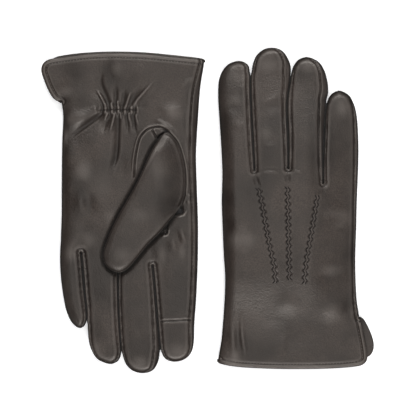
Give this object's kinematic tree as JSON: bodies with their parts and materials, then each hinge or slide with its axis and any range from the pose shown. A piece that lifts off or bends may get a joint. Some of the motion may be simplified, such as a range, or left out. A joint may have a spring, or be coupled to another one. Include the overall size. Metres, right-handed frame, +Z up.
{
  "type": "touchscreen gloves",
  "caption": "Pair of lined leather gloves with a conductive index fingertip, gathered wrist and vented cuff; fingers and thumbs bend, and the right glove lifts off.",
  "frame": {"origin": "centre of the pair's footprint, on the surface that the gloves lie on", "axes": "+Z up, +Y towards the right glove's fingertips and the left glove's cuff, +X from the left glove to the right glove"},
  "size_m": [0.2586, 0.2542, 0.0253],
  "materials": {
    "leather": "smooth dark brown-grey sheepskin, soft satin sheen",
    "touch_leather": "conductive-finished leather, same colour",
    "lining": "soft brushed knit",
    "elastic": "flat braided elastic"
  },
  "bodies": {
    "left_hand": {"left_back_panel": "leather", "left_palm_panel": "leather", "left_cuff_facing": "leather", "left_hand_lining": "lining", "left_wrist_elastic": "elastic", "left_thumb_gusset": "leather"},
    "left_index": {"left_index_back": "leather", "left_index_palm": "leather", "left_index_lining": "lining", "left_index_touch_tip": "touch_leather", "left_index_fourchette_outer": "leather"},
    "left_middle": {"left_middle_back": "leather", "left_middle_palm": "leather", "left_middle_lining": "lining", "left_middle_fourchette_outer": "leather", "left_middle_fourchette_inner": "leather"},
    "left_ring": {"left_ring_back": "leather", "left_ring_palm": "leather", "left_ring_lining": "lining", "left_ring_fourchette_outer": "leather", "left_ring_fourchette_inner": "leather"},
    "left_little": {"left_little_back": "leather", "left_little_palm": "leather", "left_little_lining": "lining", "left_little_fourchette_inner": "leather"},
    "left_thumb": {"left_thumb_outer": "leather", "left_thumb_inner": "leather", "left_thumb_lining": "lining"},
    "right_hand": {"right_back_panel": "leather", "right_palm_panel": "leather", "right_cuff_facing": "leather", "right_hand_lining": "lining", "right_wrist_elastic": "elastic", "right_thumb_gusset": "leather"},
    "right_index": {"right_index_back": "leather", "right_index_palm": "leather", "right_index_lining": "lining", "right_index_touch_tip": "touch_leather", "right_index_fourchette_outer": "leather"},
    "right_middle": {"right_middle_back": "leather", "right_middle_palm": "leather", "right_middle_lining": "lining", "right_middle_fourchette_outer": "leather", "right_middle_fourchette_inner": "leather"},
    "right_ring": {"right_ring_back": "leather", "right_ring_palm": "leather", "right_ring_lining": "lining", "right_ring_fourchette_outer": "leather", "right_ring_fourchette_inner": "leather"},
    "right_little": {"right_little_back": "leather", "right_little_palm": "leather", "right_little_lining": "lining", "right_little_fourchette_inner": "leather"},
    "right_thumb": {"right_thumb_outer": "leather", "right_thumb_inner": "leather", "right_thumb_lining": "lining"}
  },
  "joints": [
    {"name": "right_glove_lift", "type": "slide", "parent": "left_hand", "child": "right_hand", "axis": [0, 0, 1], "range_m": [0, 0.3]},
    {"name": "left_index_bend", "type": "hinge", "parent": "left_hand", "child": "left_index", "pos_m": [-0.0271, -0.0488, 0.014], "axis": [-1, 0, 0], "range_deg": [0, 70]},
    {"name": "left_middle_bend", "type": "hinge", "parent": "left_hand", "child": "left_middle", "pos_m": [-0.0584, -0.0488, 0.014], "axis": [-1, 0, 0], "range_deg": [0, 70]},
    {"name": "left_ring_bend", "type": "hinge", "parent": "left_hand", "child": "left_ring", "pos_m": [-0.0854, -0.0488, 0.014], "axis": [-1, 0, 0], "range_deg": [0, 70]},
    {"name": "left_little_bend", "type": "hinge", "parent": "left_hand", "child": "left_little", "pos_m": [-0.1084, -0.0368, 0.014], "axis": [-1, 0, 0], "range_deg": [0, 70]},
    {"name": "left_thumb_swing", "type": "hinge", "parent": "left_hand", "child": "left_thumb", "pos_m": [-0.02777, 0.03158, 0.014], "axis": [-0.225, 0.9744, 0], "range_deg": [0, 110]},
    {"name": "right_index_bend", "type": "hinge", "parent": "right_hand", "child": "right_index", "pos_m": [0.0216, 0.0488, 0.0053], "axis": [-1, 0, 0], "range_deg": [0, 70]},
    {"name": "right_middle_bend", "type": "hinge", "parent": "right_hand", "child": "right_middle", "pos_m": [0.0479, 0.0488, 0.0093], "axis": [-1, 0, 0], "range_deg": [0, 70]},
    {"name": "right_ring_bend", "type": "hinge", "parent": "right_hand", "child": "right_ring", "pos_m": [0.0752, 0.0488, 0.00838], "axis": [-1, 0, 0], "range_deg": [0, 70]},
    {"name": "right_little_bend", "type": "hinge", "parent": "right_hand", "child": "right_little", "pos_m": [0.1022, 0.0368, 0.00036], "axis": [-1, 0, 0], "range_deg": [0, 70]},
    {"name": "right_thumb_swing", "type": "hinge", "parent": "right_hand", "child": "right_thumb", "pos_m": [0.02777, -0.03158, 0.0087], "axis": [-0.225, 0.9744, 0], "range_deg": [0, 110]}
  ]
}
